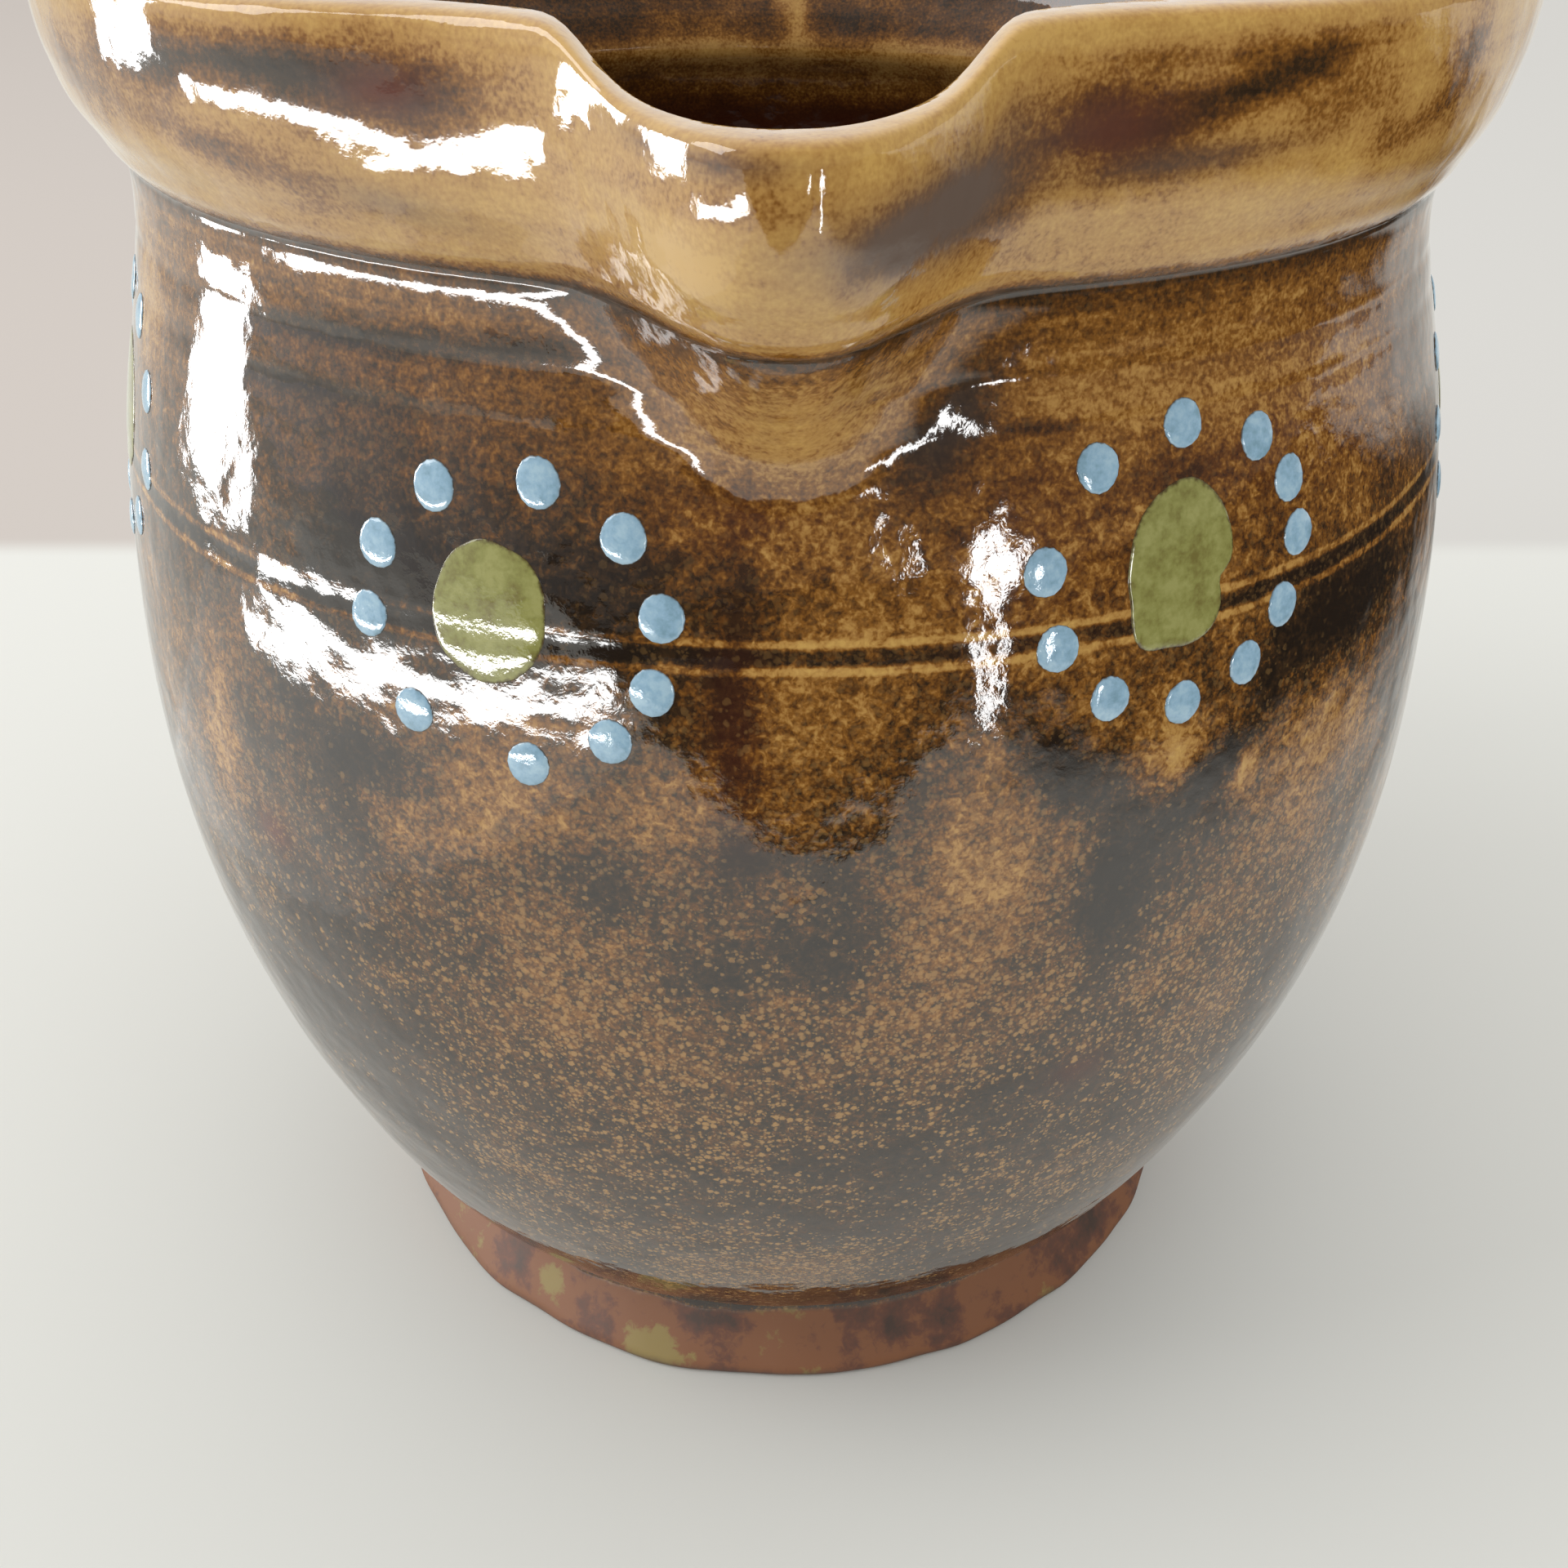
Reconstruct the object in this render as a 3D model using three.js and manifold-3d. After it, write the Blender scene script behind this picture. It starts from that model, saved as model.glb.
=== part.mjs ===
// A hand-thrown earthenware pitcher: a footed, bellied pot with a rolled collar and a spout pulled out of
// it, a strap handle luted on behind, and rosettes of coloured slip dots laid round the shoulder.
// Millimetres, +Z up. The origin is the centre of the base, the spout points to -Y, the handle to +Y.
import * as THREE from "three";
import { mergeVertices } from "three/addons/utils/BufferGeometryUtils.js";
import Module from "manifold-3d";

const wasm = await Module();
wasm.setup();

const { clamp, lerp, smoothstep, degToRad } = THREE.MathUtils;

// Heights of the thrown pot; the belly takes up what the others leave
const HEIGHT = 150; // base to the rim
const FOOT_HEIGHT = 9.7; // base to the waist, the groove above the foot
const SHOULDER_RISE = 56; // widest part of the belly to the narrowest part of the neck
const COLLAR_HEIGHT = 19; // neck to the rim

// Outer radii of the thrown pot
const FOOT_RADIUS = 54;
const WAIST_RADIUS = 50.5;
const BELLY_RADIUS = 71.9;
const NECK_RADIUS = 63.5;
const COLLAR_RADIUS = 68.6;

// Clay thickness and small rounds
const WALL = 5.2;
const BASE_THICKNESS = 11;
const FOOT_EDGE = 1.2; // worn round of the standing edge
const RIM_ROUND = 2.8; // height of the rounded top of the rim
const BOWL_FLAT_RADIUS = 30; // flat of the floor inside
const BOWL_ROUND = 20; // how far the floor runs on before the wall turns up

// How full the curves are: the share of a rise along which the wall keeps its direction
const UNDERCUT = 3.4; // mm that the belly runs straight out from the waist
const BELLY_FULLNESS = 0.52;
const SHOULDER_FULLNESS = 0.6;
const NECK_HOLLOW = 0.17;
const CREASE_HOLLOW = 0.3;
const COLLAR_FULLNESS = 0.77;

// Shallow band cut round the shoulder with a pointed tool
const BAND_DROP = 24.1; // neck down to the middle of the band
const BAND_WIDTH = 2;
const BAND_DEPTH = 0.5;

// Crease pressed in under the collar
const CREASE_RISE = 1.2; // neck up to the middle of the crease
const CREASE_WIDTH = 0.6;
const CREASE_DEPTH = 0.5;

const CUT_SLOPE = 0.4; // height of each sloping side of a cut

// Spout, pulled forward from the collar with one finger
const SPOUT_PULL = 14.5; // forward reach at the lip
const SPOUT_HALF_WIDTH = 11.25; // middle of the spout to where the pull falls to about a third, at the collar
const SPOUT_ROOT_DROP = 15; // neck down to where the pull dies out on the shoulder
const SPOUT_ROOT_HALF_WIDTH = 2.5;
const SPOUT_TAPER = 0.8; // power by which the pull narrows on its way down
const SPOUT_BLUNTNESS = 3.5; // power that shapes the pull from side to side: a larger one is blunter
const LIP_DIP = 3.2; // how far the lip drops below the rim
const LIP_HALF_WIDTH = 11.8; // middle of the lip to where its dip falls to about a third
const LIP_BLUNTNESS = 6; // power that shapes the dip from side to side
const PINCH_DEPTH = 2; // how far the rim is drawn in on either side of the spout
const PINCH_ASIDE = 24; // middle of the spout to the middle of a pinch
const PINCH_HALF_WIDTH = 9;

// Handle, a tapered strap with a shallow thumb groove
const HANDLE_TOP_WIDTH = 27;
const HANDLE_FOOT_WIDTH = 20;
const HANDLE_THICKNESS = 10;
const HANDLE_TOP_DROP = 9.5; // rim down to the middle of the upper joint
const HANDLE_FOOT_RISE = 1; // widest level up to the middle of the lower joint
const FINGER_ROOM = 30; // gap between the belly and the strap
const HANDLE_LIFT = 14; // how far the strap springs up before it turns over
const HANDLE_DROOP = 30; // how far above its foot the strap turns in
const HANDLE_FLARE = 6; // extra width where the clay is smeared on to the pot
const HANDLE_SWELL = 3; // extra thickness there
const FLARE_REACH = 0.07; // share of the strap's length over which the flare fades
const GROOVE_DEPTH = 1.3;
const GROOVE_SHARPNESS = 8; // power that keeps the groove to the middle of the strap

// Slip dots
const ROSETTE_DROP = 21.5; // neck down to the middle of a rosette
const ROSETTE_HALF_WIDTH = 12.5; // middle of a rosette to the middle of its dots, along the wall
const ROSETTE_HALF_HEIGHT = 11;
const DOT_WIDTH = 3.6;
const DOT_LENGTH = 3.8;
const DOT_RELIEF = 0.6;
const SPOT_WIDTH = 10;
const SPOT_LENGTH = 12.4;
const SPOT_RELIEF = 0.6;

// Turns of evenly set dots round a rosette, in degrees from its right-hand side
function evenTurns(count, first) {
  return Array.from({ length: count }, (_, i) => first - (i / count) * 360);
}

// Each rosette: its direction from the spout in degrees, how far its ring and its spot sit from their usual
// places, and the turn of each dot as it was set by hand. The last rosette keeps only its spot.
const ROSETTES = [
  { direction: 27.2, rise: 0.9, spotAside: -0.4, spotRise: 0.4,
    turns: [89, 52, 25, 0, -30, -58, -90, -124, -157, 171, 127] },
  { direction: -18, rise: -1.8, spotAside: -1.2, spotRise: 1.7,
    turns: [120, 79, 43, 10, -20, -47, -82, -132, -174, 156] },
  { direction: -69, rise: 1, spotAside: 0, spotRise: 0, turns: evenTurns(10, 60) },
  { direction: 78, rise: -0.5, spotAside: 0, spotRise: 0, turns: evenTurns(10, 72) },
  { direction: -120, rise: 0, spotAside: 0, spotRise: 0, turns: evenTurns(10, 80) },
  { direction: 129, rise: 0, spotAside: 0, spotRise: 0, turns: [] },
];

// Clearance that separate pieces keep from what carries them
const SEAT_GAP = 0.3;

// Facets
const EDGE_STEPS = 2;
const FOOT_STEPS = 3;
const BELLY_STEPS = 8;
const SHOULDER_STEPS = 12;
const COLLAR_STEPS = 7;
const RIM_STEPS = 6;
const INNER_COLLAR_STEPS = 4;
const INNER_SHOULDER_STEPS = 5;
const BOWL_STEPS = 7;
const POT_SEGMENTS = 80;
const FRONT_GATHER = 0.62; // how strongly the facets are gathered towards the spout
const HANDLE_STEPS = 24;
const HANDLE_SIDES = 20;
const DOT_SIDES = 8;
const SPOT_SIDES = 16;
const DOME_STEPS = 3;
const MERGE_TOLERANCE = 1e-4;

// Levels worked out from the heights
const RIM_LEVEL = HEIGHT;
const NECK_LEVEL = RIM_LEVEL - COLLAR_HEIGHT;
const BELLY_LEVEL = NECK_LEVEL - SHOULDER_RISE;
const BELLY_RISE = BELLY_LEVEL - FOOT_HEIGHT;
const BAND_LEVEL = NECK_LEVEL - BAND_DROP;
const CREASE_LEVEL = NECK_LEVEL + CREASE_RISE;
const ROSETTE_LEVEL = NECK_LEVEL - ROSETTE_DROP;
const SPOUT_ROOT_LEVEL = NECK_LEVEL - SPOUT_ROOT_DROP;

// Profile curves, as radius and level

function point(radius, level) {
  return new THREE.Vector2(radius, level);
}

// Belly to neck, both ends upright, moved inwards by an inset
function shoulderCurve(inset) {
  return new THREE.CubicBezierCurve(
    point(BELLY_RADIUS - inset, BELLY_LEVEL),
    point(BELLY_RADIUS - inset, BELLY_LEVEL + SHOULDER_FULLNESS * SHOULDER_RISE),
    point(NECK_RADIUS - inset, NECK_LEVEL - NECK_HOLLOW * SHOULDER_RISE),
    point(NECK_RADIUS - inset, NECK_LEVEL),
  );
}

// Neck to the upright face of the collar, moved inwards by an inset
function collarCurve(inset) {
  const rise = COLLAR_HEIGHT - RIM_ROUND;
  return new THREE.CubicBezierCurve(
    point(NECK_RADIUS - inset, NECK_LEVEL),
    point(NECK_RADIUS - inset, NECK_LEVEL + CREASE_HOLLOW * rise),
    point(COLLAR_RADIUS - inset, NECK_LEVEL + (1 - COLLAR_FULLNESS) * rise),
    point(COLLAR_RADIUS - inset, RIM_LEVEL - RIM_ROUND),
  );
}

// Outside of the pot from the standing edge up to the rim, before the band and the crease are cut
function outerOutline() {
  const edge = new THREE.QuadraticBezierCurve(
    point(FOOT_RADIUS - FOOT_EDGE, 0),
    point(FOOT_RADIUS, 0),
    point(FOOT_RADIUS, FOOT_EDGE),
  );
  const foot = new THREE.QuadraticBezierCurve(
    point(FOOT_RADIUS, FOOT_EDGE),
    point(WAIST_RADIUS, FOOT_HEIGHT - FOOT_EDGE),
    point(WAIST_RADIUS, FOOT_HEIGHT),
  );
  const belly = new THREE.CubicBezierCurve(
    point(WAIST_RADIUS, FOOT_HEIGHT),
    point(WAIST_RADIUS + UNDERCUT, FOOT_HEIGHT),
    point(BELLY_RADIUS, BELLY_LEVEL - BELLY_FULLNESS * BELLY_RISE),
    point(BELLY_RADIUS, BELLY_LEVEL),
  );
  return [
    ...edge.getPoints(EDGE_STEPS),
    ...foot.getPoints(FOOT_STEPS).slice(1),
    ...belly.getPoints(BELLY_STEPS).slice(1),
    ...shoulderCurve(0).getPoints(SHOULDER_STEPS).slice(1),
    ...collarCurve(0).getPoints(COLLAR_STEPS).slice(1),
  ];
}

const OUTLINE = outerOutline();

// Outer radius at a level, read along the outline
function outerRadius(level) {
  const above = OUTLINE.findIndex((corner) => corner.y > level);
  const upper = OUTLINE[above === -1 ? OUTLINE.length - 1 : above];
  const lower = OUTLINE[above === -1 ? OUTLINE.length - 2 : Math.max(above - 1, 0)];
  const share = upper.y === lower.y ? 0 : (level - lower.y) / (upper.y - lower.y);
  return lerp(lower.x, upper.x, share);
}

// An outline with a shallow groove cut into it
function cutGroove(outline, level, width, depth) {
  const half = width / 2;
  const cut = [
    [-half - CUT_SLOPE, 0],
    [-half, depth],
    [half, depth],
    [half + CUT_SLOPE, 0],
  ].map(([rise, inset]) => point(outerRadius(level + rise) - inset, level + rise));
  const below = outline.filter((corner) => corner.y < cut[0].y);
  const above = outline.filter((corner) => corner.y > cut[3].y);
  return [...below, ...cut, ...above];
}

function groovedOutline() {
  const banded = cutGroove(OUTLINE, BAND_LEVEL, BAND_WIDTH, BAND_DEPTH);
  return cutGroove(banded, CREASE_LEVEL, CREASE_WIDTH, CREASE_DEPTH);
}

// Inside of the pot from the rim down to the middle of the floor
function innerOutline() {
  const bowl = new THREE.CubicBezierCurve(
    point(BELLY_RADIUS - WALL, BELLY_LEVEL),
    point(BELLY_RADIUS - WALL, BELLY_LEVEL - BELLY_FULLNESS * BELLY_RISE),
    point(BOWL_FLAT_RADIUS + BOWL_ROUND, BASE_THICKNESS),
    point(BOWL_FLAT_RADIUS, BASE_THICKNESS),
  );
  return [
    ...collarCurve(WALL).getPoints(INNER_COLLAR_STEPS).reverse(),
    ...shoulderCurve(WALL).getPoints(INNER_SHOULDER_STEPS).reverse().slice(1),
    ...bowl.getPoints(BOWL_STEPS).slice(1),
    point(0, BASE_THICKNESS),
  ];
}

function rimOutline() {
  const middle = COLLAR_RADIUS - WALL / 2;
  const round = new THREE.EllipseCurve(middle, RIM_LEVEL - RIM_ROUND, WALL / 2, RIM_ROUND, 0, Math.PI);
  return round.getPoints(RIM_STEPS);
}

// Solids and meshes

// Split the quads of one half of a lathed form along their other diagonal, so that the two sides of the
// spout have mirrored facets
function mirrorFacets(geometry) {
  const index = geometry.index;
  const cornersOfQuad = 6;
  for (let start = 0; start < index.count / 2; start += cornersOfQuad) {
    const [a, b, d, c] = [0, 1, 2, 3].map((k) => index.getX(start + k));
    [a, b, c, a, c, d].forEach((corner, k) => index.setX(start + k, corner));
  }
  return geometry;
}

// Turn an outline round the upright axis, with the facets gathered towards the spout
function revolve(outline, segments, gather) {
  const geometry = mirrorFacets(new THREE.LatheGeometry(outline, segments)).rotateX(Math.PI / 2);
  const corners = geometry.attributes.position;
  for (let i = 0; i < corners.count; i++) {
    const radius = Math.hypot(corners.getX(i), corners.getY(i));
    const angle = Math.atan2(corners.getX(i), -corners.getY(i));
    const gathered = angle - gather * Math.sin(angle);
    corners.setX(i, radius * Math.sin(gathered));
    corners.setY(i, -radius * Math.cos(gathered));
  }
  return geometry;
}

function toSolid(geometry) {
  const bare = geometry.clone();
  bare.deleteAttribute("normal");
  bare.deleteAttribute("uv");
  const merged = mergeVertices(bare, MERGE_TOLERANCE);
  const vertProperties = Float32Array.from(merged.attributes.position.array);
  const triVerts = Uint32Array.from(merged.index.array);
  return new wasm.Manifold(new wasm.Mesh({ numProp: 3, vertProperties, triVerts }));
}

function toGeometry(solid) {
  const { vertProperties, triVerts } = solid.getMesh();
  const geometry = new THREE.BufferGeometry();
  geometry.setAttribute("position", new THREE.BufferAttribute(vertProperties, 3));
  geometry.setIndex(new THREE.BufferAttribute(triVerts, 1));
  geometry.computeVertexNormals();
  return geometry;
}

// Join rings of points, one after another, into a tube with flat ends
function loft(rings) {
  const sides = rings[0].length;
  const last = (rings.length - 1) * sides;
  const triangles = [];
  for (let i = 0; i < last; i += sides) {
    for (let j = 0; j < sides; j++) {
      const here = i + j;
      const next = i + ((j + 1) % sides);
      triangles.push(here, next + sides, next, here, here + sides, next + sides);
    }
  }
  for (let j = 1; j < sides - 1; j++) {
    triangles.push(0, j, j + 1, last, last + j + 1, last + j);
  }
  const geometry = new THREE.BufferGeometry().setFromPoints(rings.flat());
  return geometry.setIndex(triangles);
}

// Pull the front of the collar forward into a spout that runs out on the shoulder below it, and pinch the
// collar on either side
function pullSpout(geometry) {
  const corners = geometry.attributes.position;
  for (let i = 0; i < corners.count; i++) {
    const level = corners.getZ(i);
    const aside = Math.abs(corners.getX(i));
    const share = clamp((level - SPOUT_ROOT_LEVEL) / SPOUT_ROOT_DROP, 0, 1);
    const halfWidth = lerp(SPOUT_ROOT_HALF_WIDTH, SPOUT_HALF_WIDTH, share ** SPOUT_TAPER);
    if (corners.getY(i) < 0) {
      const crown = Math.exp(-((aside / halfWidth) ** SPOUT_BLUNTNESS));
      const pinch = Math.exp(-(((aside - PINCH_ASIDE) / PINCH_HALF_WIDTH) ** 2));
      const onCollar = smoothstep(level, NECK_LEVEL, RIM_LEVEL);
      const forward = SPOUT_PULL * smoothstep(share, 0, 1) * crown - PINCH_DEPTH * onCollar * pinch;
      corners.setY(i, corners.getY(i) - forward);
      const dip = LIP_DIP * Math.exp(-((aside / LIP_HALF_WIDTH) ** LIP_BLUNTNESS));
      corners.setZ(i, level - dip * onCollar);
    }
  }
  geometry.computeVertexNormals();
  return geometry;
}

function makeVessel() {
  const outline = [
    point(0, 0),
    ...groovedOutline(),
    ...rimOutline().slice(1),
    ...innerOutline().slice(1),
  ];
  return pullSpout(revolve(outline, POT_SEGMENTS, FRONT_GATHER));
}

// Outside of the pot filled in and grown by the seat gap, to shape what is luted on to it
function makeSeatForm() {
  const grown = OUTLINE.map((corner) => point(corner.x + SEAT_GAP, corner.y));
  return revolve([point(0, 0), ...grown, point(0, RIM_LEVEL - RIM_ROUND)], POT_SEGMENTS, FRONT_GATHER);
}

// Middle line of the strap, from inside the collar over to inside the belly. The middle of a cubic curve
// lies at an eighth of each of its ends and three eighths of each of its handles.
function handlePath() {
  const endShare = 1 / 8;
  const handleShare = 3 / 8;
  const topRadius = COLLAR_RADIUS - WALL / 2;
  const footRadius = BELLY_RADIUS - WALL / 2;
  const topLevel = RIM_LEVEL - HANDLE_TOP_DROP;
  const footLevel = BELLY_LEVEL + HANDLE_FOOT_RISE;
  const middleReach = BELLY_RADIUS + FINGER_ROOM + HANDLE_THICKNESS / 2;
  const bow = (middleReach - endShare * (topRadius + footRadius)) / (2 * handleShare);
  return new THREE.CubicBezierCurve3(
    new THREE.Vector3(0, topRadius, topLevel),
    new THREE.Vector3(0, bow, topLevel + HANDLE_LIFT),
    new THREE.Vector3(0, bow, footLevel + HANDLE_DROOP),
    new THREE.Vector3(0, footRadius, footLevel),
  );
}

// One section of the strap: a flattened round with the thumb groove in its outer face
function handleRing(path, share) {
  const middle = path.getPointAt(share);
  const along = path.getTangentAt(share);
  const across = new THREE.Vector3(1, 0, 0);
  const outward = new THREE.Vector3().crossVectors(across, along);
  const flare = Math.exp(-share / FLARE_REACH) + Math.exp((share - 1) / FLARE_REACH);
  const halfWidth = (lerp(HANDLE_TOP_WIDTH, HANDLE_FOOT_WIDTH, share) + HANDLE_FLARE * flare) / 2;
  const halfThickness = (HANDLE_THICKNESS + HANDLE_SWELL * flare) / 2;
  return Array.from({ length: HANDLE_SIDES }, (_, i) => {
    const turn = (i / HANDLE_SIDES) * 2 * Math.PI;
    const groove = GROOVE_DEPTH * Math.max(Math.sin(turn), 0) ** GROOVE_SHARPNESS;
    return middle.clone()
      .addScaledVector(across, halfWidth * Math.cos(turn))
      .addScaledVector(outward, halfThickness * Math.sin(turn) - groove);
  });
}

function makeHandle() {
  const path = handlePath();
  const rings = Array.from({ length: HANDLE_STEPS + 1 }, (_, i) => handleRing(path, i / HANDLE_STEPS));
  return toGeometry(toSolid(loft(rings)).subtract(toSolid(makeSeatForm())));
}

// A low bead of slip with a flat underside, its longer way along Y and its crown up Z
function makeBead(width, length, relief, sides) {
  const dome = Array.from({ length: DOME_STEPS }, (_, i) => {
    const turn = (i / DOME_STEPS) * (Math.PI / 2);
    return point((width / 2) * Math.cos(turn), relief * Math.sin(turn));
  });
  return revolve([point(0, 0), ...dome, point(0, relief)], sides, 0).scale(1, length / width, 1);
}

// Lay a bead on the outside of the pot, standing off by the seat gap, with its length up the wall
function layOnWall(mesh, angle, level) {
  const reach = SPOT_LENGTH / 2;
  const slope = (outerRadius(level + reach) - outerRadius(level - reach)) / (2 * reach);
  const around = new THREE.Vector3(Math.cos(angle), Math.sin(angle), 0);
  const away = new THREE.Vector3(Math.sin(angle), -Math.cos(angle), -slope).normalize();
  const up = new THREE.Vector3().crossVectors(away, around);
  mesh.setRotationFromMatrix(new THREE.Matrix4().makeBasis(around, up, away));
  mesh.position.set(Math.sin(angle), -Math.cos(angle), 0).multiplyScalar(outerRadius(level)).setZ(level);
  mesh.position.addScaledVector(away, SEAT_GAP);
  return mesh;
}

function makeMesh(name, geometry, material) {
  const mesh = new THREE.Mesh(geometry, material);
  mesh.name = name;
  return mesh;
}

// Finishes
const brownGlaze = new THREE.MeshStandardMaterial({ color: 0x6e4a26, roughness: 0.2, metalness: 0 });
const ochreGlaze = new THREE.MeshStandardMaterial({ color: 0xa97f45, roughness: 0.2, metalness: 0 });
const greenSlip = new THREE.MeshStandardMaterial({ color: 0x87914f, roughness: 0.25, metalness: 0 });
const blueSlip = new THREE.MeshStandardMaterial({ color: 0x8cafcd, roughness: 0.25, metalness: 0 });

const spotGeometry = makeBead(SPOT_WIDTH, SPOT_LENGTH, SPOT_RELIEF, SPOT_SIDES);
const dotGeometry = makeBead(DOT_WIDTH, DOT_LENGTH, DOT_RELIEF, DOT_SIDES);

// A green spot with its ring of blue dots
function makeRosette(number, { direction, rise, spotAside, spotRise, turns }) {
  const rosette = new THREE.Group();
  const angle = degToRad(direction);
  const middle = ROSETTE_LEVEL + rise;
  const addBead = (mesh, aside, up) => {
    const level = middle + up;
    rosette.add(layOnWall(mesh, angle + aside / outerRadius(level), level));
  };
  addBead(makeMesh(`green_spot_${number}`, spotGeometry, greenSlip), spotAside, spotRise);
  turns.map(degToRad).forEach((turn, i) => {
    const dot = makeMesh(`blue_dot_${number}_${i + 1}`, dotGeometry, blueSlip);
    addBead(dot, ROSETTE_HALF_WIDTH * Math.cos(turn), ROSETTE_HALF_HEIGHT * Math.sin(turn));
  });
  return rosette;
}

const pitcher = new THREE.Group();
pitcher.add(makeMesh("vessel", makeVessel(), brownGlaze));
pitcher.add(makeMesh("handle", makeHandle(), ochreGlaze));
ROSETTES.forEach((rosette, i) => pitcher.add(makeRosette(i + 1, rosette)));

export default pitcher;
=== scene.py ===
"""A hand-thrown earthenware pitcher in brown slip and honey glaze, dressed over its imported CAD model.

Sizes are in millimetres, and a level is a height above the table. A direction is in degrees round the pot,
0 at the spout and growing towards +X. A climb is the way up the outside of the wall and on down its inside.
"""

import bisect
import math
from types import SimpleNamespace

import bmesh
import bpy
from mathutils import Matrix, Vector, noise
from mathutils.geometry import interpolate_bezier


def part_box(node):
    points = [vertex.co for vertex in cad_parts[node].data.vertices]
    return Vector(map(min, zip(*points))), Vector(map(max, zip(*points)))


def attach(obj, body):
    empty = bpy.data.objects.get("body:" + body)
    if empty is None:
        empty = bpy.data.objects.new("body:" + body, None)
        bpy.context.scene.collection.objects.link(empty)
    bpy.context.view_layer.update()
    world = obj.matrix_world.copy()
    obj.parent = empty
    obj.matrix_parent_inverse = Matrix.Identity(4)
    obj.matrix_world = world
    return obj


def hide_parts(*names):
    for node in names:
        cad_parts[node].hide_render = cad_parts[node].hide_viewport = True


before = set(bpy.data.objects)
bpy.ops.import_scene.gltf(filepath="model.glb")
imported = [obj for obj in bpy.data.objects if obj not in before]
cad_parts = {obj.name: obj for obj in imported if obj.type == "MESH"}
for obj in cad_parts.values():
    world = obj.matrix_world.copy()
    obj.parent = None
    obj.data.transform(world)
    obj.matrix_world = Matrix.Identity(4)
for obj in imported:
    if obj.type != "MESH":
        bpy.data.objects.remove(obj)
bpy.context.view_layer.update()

MM = 0.001
vessel_low, vessel_high = (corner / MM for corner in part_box("vessel"))

# The thrown pot
RIM_LEVEL = vessel_high.z
BELLY_RADIUS = vessel_high.x
FOOT_HEIGHT = 9.7
COLLAR_HEIGHT = 19
SHOULDER_RISE = 56
FOOT_RADIUS = 54
WAIST_RADIUS = 50.5
NECK_RADIUS = 63.5
COLLAR_RADIUS = 68.6
WALL = 5.2
BASE_THICKNESS = 11
FOOT_EDGE = 1.2
FOOT_HOLLOW = 1.6
RIM_ROUND = 2.8
RIM_SQUARENESS = 4.5
BOWL_FLAT_RADIUS = 30
BOWL_ROUND = 20
UNDERCUT = 3.4
BELLY_FULLNESS = 0.52
SHOULDER_FULLNESS = 0.6
NECK_HOLLOW = 0.17
CREASE_HOLLOW = 0.3
COLLAR_FULLNESS = 0.77
BAND_DROP = 24.1
CREASE_RISE = 1.2
CREASE_LEAN = 1.1
CREASE_LEAN_REACH = 11

NECK_LEVEL = RIM_LEVEL - COLLAR_HEIGHT
BELLY_LEVEL = NECK_LEVEL - SHOULDER_RISE
BAND_LEVEL = NECK_LEVEL - BAND_DROP
CREASE_LEVEL = NECK_LEVEL + CREASE_RISE

# Spout
SPOUT_PULL = -vessel_low.y - COLLAR_RADIUS
SPOUT_HALF_WIDTH = 10.6
SPOUT_ROOT_DROP = 14
SPOUT_RISE = 17.5
SPOUT_ROOT_HALF_WIDTH = 3.5
SPOUT_BLUNTNESS = 2.5
SPOUT_ROOT_BLUNTNESS = 2
LIP_DIP = 3.9
LIP_HALF_WIDTH = 12.5
LIP_BLUNTNESS = 7.5
SPOUT_PINCH = 2
PINCH_ASIDE = 24
PINCH_HALF_WIDTH = 9
SPOUT_ROOT_LEVEL = NECK_LEVEL - SPOUT_ROOT_DROP

# Marks left by the tool and the fingers: level, half height and relief
TOOL_MARKS = [
    (BAND_LEVEL, 0.8, -0.07),
    (BAND_LEVEL + 1.2, 0.4, 0.02),
    (BAND_LEVEL - 1.2, 0.4, 0.02),
    (CREASE_LEVEL, 0.35, -0.3),
    (CREASE_LEVEL + 1.8, 1.3, 0.45),
    (NECK_LEVEL - 5, 0.7, -0.1),
    (NECK_LEVEL - 9, 0.9, -0.1),
    (RIM_LEVEL - 9, 1.6, -0.1),
]
INNER_RIDGE = (NECK_LEVEL - 1.5, 2.2, 1.4)

# Unevenness left by the hand: its depth and the size of its waves
SLOW_WOBBLE = (0.45, 38)
QUICK_WOBBLE = (0.12, 11)
FOOT_WOBBLE = (0.6, 8)
STRAP_WOBBLE = (0.35, 17)

# Handle
HANDLE_TOP_WIDTH = 27
HANDLE_FOOT_WIDTH = 20
HANDLE_THICKNESS = 10
HANDLE_TOP_DROP = 9.5
HANDLE_FOOT_RISE = 1
HANDLE_LIFT = 14
HANDLE_DROOP = 30
FINGER_ROOM = 30
HANDLE_FLARE = 6
HANDLE_SWELL = 3
FLARE_REACH = 0.07
GROOVE_DEPTH = 1.3
GROOVE_SHARPNESS = 8
HANDLE_TOP_CLIMB = 127
HANDLE_FOOT_CLIMB = 112
HANDLE_WEAR = -0.32
WEAR_SHARPNESS = 6

# Slip dots
DOT_HALF_WIDTH = 1.8
DOT_HALF_HEIGHT = 1.9
DOT_RELIEF = 0.3
SPOT_HALF_WIDTH = 5.2
SPOT_HALF_HEIGHT = 6.4
SPOT_RELIEF = 0.28
RING_HALF_WIDTH = 12.5
RING_HALF_HEIGHT = 11
RING_DOTS = 10
ROSETTES = 6
DOT_UNEVENNESS = 0.07
SPOT_UNEVENNESS = 0.06
DOT_SEED_STEP = 3.7
ROSETTE_SEED_STEP = 20
SPOT_SEED_STEP = 5.3

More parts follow.
